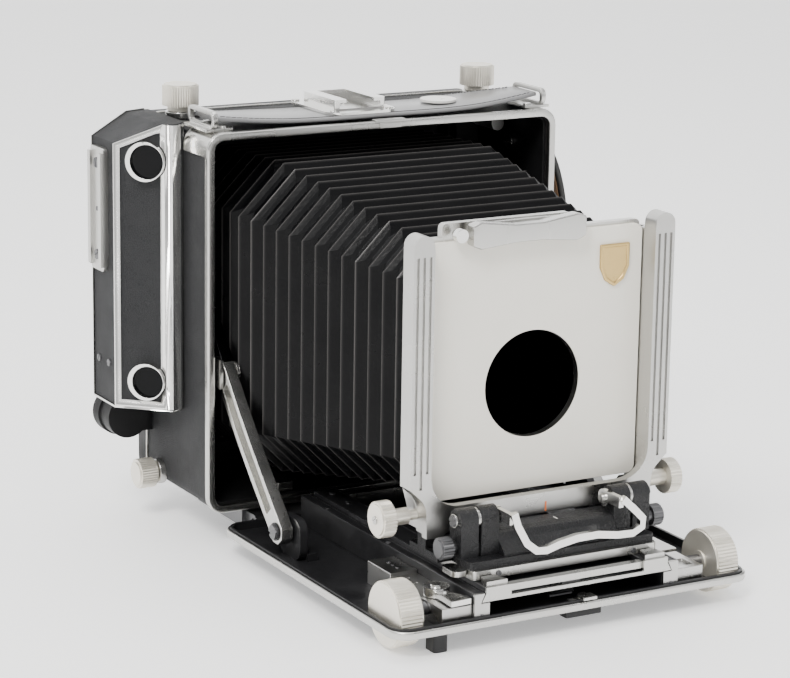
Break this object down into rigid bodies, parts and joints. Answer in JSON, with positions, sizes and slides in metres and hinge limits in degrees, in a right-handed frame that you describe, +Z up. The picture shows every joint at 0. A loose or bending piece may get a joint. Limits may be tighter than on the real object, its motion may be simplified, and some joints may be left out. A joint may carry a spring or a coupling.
{
  "type": "folding field camera",
  "caption": "Folding technical field camera, bed open: leather-covered box body, bellows, tilting rising front standard with lens board, rangefinder housing, revolving back.",
  "frame": {"origin": "mouth of the tripod socket on the underside of the base plate", "axes": "-Y out of the front of the lens board, +X to the right seen from the front, +Z up"},
  "size_m": [0.2172, 0.2466, 0.1832],
  "materials": {
    "black_paint": "matt black paint",
    "satin_metal": "satin chrome and machined aluminium",
    "body_leather": "fine grained charcoal covering",
    "strap_leather": "smooth grey leather",
    "bellows_leather": "pleated black leather",
    "glass": "clear and ground glass",
    "knob_metal": "knurled, warm silver",
    "bed_black": "black anodised",
    "crackle_paint": "black crackle paint",
    "board_paint": "cream painted",
    "badge_metal": "plain gilt plate"
  },
  "bodies": {
    "body": {"body_shell": "black_paint", "body_rims": "satin_metal", "body_leather": "body_leather", "base_plate": "satin_metal", "body_track": "satin_metal", "body_screws": "satin_metal", "rangefinder_housing": "body_leather", "housing_trim": "satin_metal", "window_bezels": "satin_metal", "windows": "glass", "side_rail": "satin_metal", "eyepiece": "black_paint", "accessory_shoe": "satin_metal", "strap_lugs": "satin_metal", "top_strap": "strap_leather", "strap_snap": "satin_metal", "grip_lugs": "satin_metal", "hand_grip": "strap_leather", "strut_pins": "satin_metal", "bellows": "bellows_leather", "lock_collars": "satin_metal"},
    "lock_tl": {"back_lock_knob_tl": "knob_metal"},
    "lock_tr": {"back_lock_knob_tr": "knob_metal"},
    "lock_bl": {"back_lock_knob_bl": "knob_metal"},
    "lock_br": {"back_lock_knob_br": "knob_metal"},
    "bed": {"bed_tray": "bed_black", "bed_rim": "satin_metal", "bed_guides": "bed_black", "lock_block": "satin_metal", "stop_bracket": "satin_metal", "strut_ears": "bed_black"},
    "focus_rail": {"focus_bars": "bed_black", "focus_plate": "bed_black", "focus_rack": "satin_metal", "bar_ends": "satin_metal"},
    "focus_drive": {"focus_knobs": "knob_metal", "focus_shaft": "satin_metal"},
    "bed_lever": {"bed_lock_lever": "satin_metal"},
    "latch_tab": {"bed_latch": "satin_metal"},
    "strut_l": {"strut_left": "satin_metal"},
    "strut_r": {"strut_right": "satin_metal"},
    "carriage": {"carriage_plate": "satin_metal", "carriage_yoke": "crackle_paint", "yoke_washers": "satin_metal"},
    "bail": {"bail_lever": "satin_metal"},
    "standard": {"standard_frame": "satin_metal", "pivot_pins": "satin_metal"},
    "tilt_l": {"tilt_knob_left": "knob_metal"},
    "tilt_r": {"tilt_knob_right": "knob_metal"},
    "clamp_l": {"carriage_screw_left": "satin_metal"},
    "clamp_r": {"carriage_screw_right": "satin_metal"},
    "carrier": {"board_carrier": "satin_metal", "lens_board": "board_paint", "board_badge": "badge_metal"},
    "slider": {"board_latch": "satin_metal"},
    "button": {"latch_button": "satin_metal"},
    "back": {"back_frame": "black_paint", "back_rods": "satin_metal"},
    "revolver": {"revolving_back": "black_paint"},
    "glass_back": {"glass_frame": "black_paint", "ground_glass": "glass"},
    "hood": {"folding_hood": "black_paint"}
  },
  "joints": [
    {"name": "bed_drop", "type": "hinge", "parent": "body", "child": "bed", "pos_m": [0, -0.04, 0.009], "axis": [1, 0, 0], "range_deg": [0, 30], "deforming": ["bellows"]},
    {"name": "focus_travel", "type": "slide", "parent": "bed", "child": "focus_rail", "axis": [0, -1, 0], "range_m": [0, 0.1], "deforming": ["bellows"]},
    {"name": "focus_knob_turn", "type": "hinge", "parent": "bed", "child": "focus_drive", "pos_m": [0, -0.174, 0.0134], "axis": [1, 0, 0], "continuous": true},
    {"name": "standard_travel", "type": "slide", "parent": "focus_rail", "child": "carriage", "axis": [0, 1, 0], "range_m": [0, 0.055], "deforming": ["bellows"]},
    {"name": "standard_tilt", "type": "hinge", "parent": "carriage", "child": "standard", "pos_m": [0, -0.152, 0.0422], "axis": [1, 0, 0], "range_deg": [-12, 12], "deforming": ["bellows"]},
    {"name": "lens_rise", "type": "slide", "parent": "standard", "child": "carrier", "axis": [0, 0, 1], "range_m": [0, 0.03], "deforming": ["bellows"]},
    {"name": "latch_slide", "type": "slide", "parent": "carrier", "child": "slider", "axis": [1, 0, 0], "range_m": [0, 0.011]},
    {"name": "latch_press", "type": "slide", "parent": "carrier", "child": "button", "axis": [0, 1, 0], "range_m": [0, 0.0015], "stiffness_N_per_m": 300},
    {"name": "tilt_knob_l", "type": "hinge", "parent": "standard", "child": "tilt_l", "pos_m": [-0.064, -0.152, 0.0422], "axis": [1, 0, 0], "continuous": true},
    {"name": "tilt_knob_r", "type": "hinge", "parent": "standard", "child": "tilt_r", "pos_m": [0.064, -0.152, 0.0422], "axis": [1, 0, 0], "continuous": true},
    {"name": "clamp_screw_l", "type": "hinge", "parent": "carriage", "child": "clamp_l", "pos_m": [-0.047, -0.168, 0.033], "axis": [1, 0, 0], "continuous": true},
    {"name": "clamp_screw_r", "type": "hinge", "parent": "carriage", "child": "clamp_r", "pos_m": [0.047, -0.168, 0.033], "axis": [1, 0, 0], "continuous": true},
    {"name": "bail_swing", "type": "hinge", "parent": "carriage", "child": "bail", "pos_m": [0, -0.168, 0.043], "axis": [1, 0, 0], "range_deg": [-80, 0]},
    {"name": "bed_lock", "type": "hinge", "parent": "bed", "child": "bed_lever", "pos_m": [-0.0516, -0.171, 0.018], "axis": [0, 0, 1], "range_deg": [-25, 0]},
    {"name": "bed_latch_press", "type": "slide", "parent": "bed", "child": "latch_tab", "axis": [0, 1, 0], "range_m": [0, 0.002], "stiffness_N_per_m": 400},
    {"name": "strut_swing_l", "type": "hinge", "parent": "bed", "child": "strut_l", "pos_m": [-0.072, -0.086, 0.02], "axis": [1, 0, 0], "range_deg": [-19, 0]},
    {"name": "strut_swing_r", "type": "hinge", "parent": "bed", "child": "strut_r", "pos_m": [0.072, -0.086, 0.02], "axis": [1, 0, 0], "range_deg": [-19, 0]},
    {"name": "back_lock_tl", "type": "hinge", "parent": "body", "child": "lock_tl", "pos_m": [-0.0705, 0.0104, 0.175], "axis": [0, 0, 1], "continuous": true},
    {"name": "back_lock_tr", "type": "hinge", "parent": "body", "child": "lock_tr", "pos_m": [0.0705, 0.0104, 0.175], "axis": [0, 0, 1], "continuous": true},
    {"name": "back_lock_bl", "type": "hinge", "parent": "body", "child": "lock_bl", "pos_m": [-0.085, 0.0104, 0.02], "axis": [1, 0, 0], "continuous": true},
    {"name": "back_lock_br", "type": "hinge", "parent": "body", "child": "lock_br", "pos_m": [0.085, 0.0104, 0.02], "axis": [1, 0, 0], "continuous": true},
    {"name": "back_extension", "type": "slide", "parent": "body", "child": "back", "axis": [0, 1, 0], "range_m": [0, 0.024]},
    {"name": "back_revolve", "type": "hinge", "parent": "back", "child": "revolver", "pos_m": [0, 0.038, 0.092], "axis": [0, 1, 0], "continuous": true},
    {"name": "glass_spring", "type": "slide", "parent": "revolver", "child": "glass_back", "axis": [0, 1, 0], "range_m": [0, 0.015], "stiffness_N_per_m": 250},
    {"name": "hood_open", "type": "hinge", "parent": "glass_back", "child": "hood", "pos_m": [0, 0.0522, 0.1434], "axis": [1, 0, 0], "range_deg": [0, 100]}
  ],
  "couplings": [
    {"joint": "focus_knob_turn", "follows": "focus_travel", "rad_per_m": 277.78},
    {"joint": "strut_swing_l", "follows": "bed_drop", "ratio": -0.617},
    {"joint": "strut_swing_r", "follows": "bed_drop", "ratio": -0.617}
  ]
}
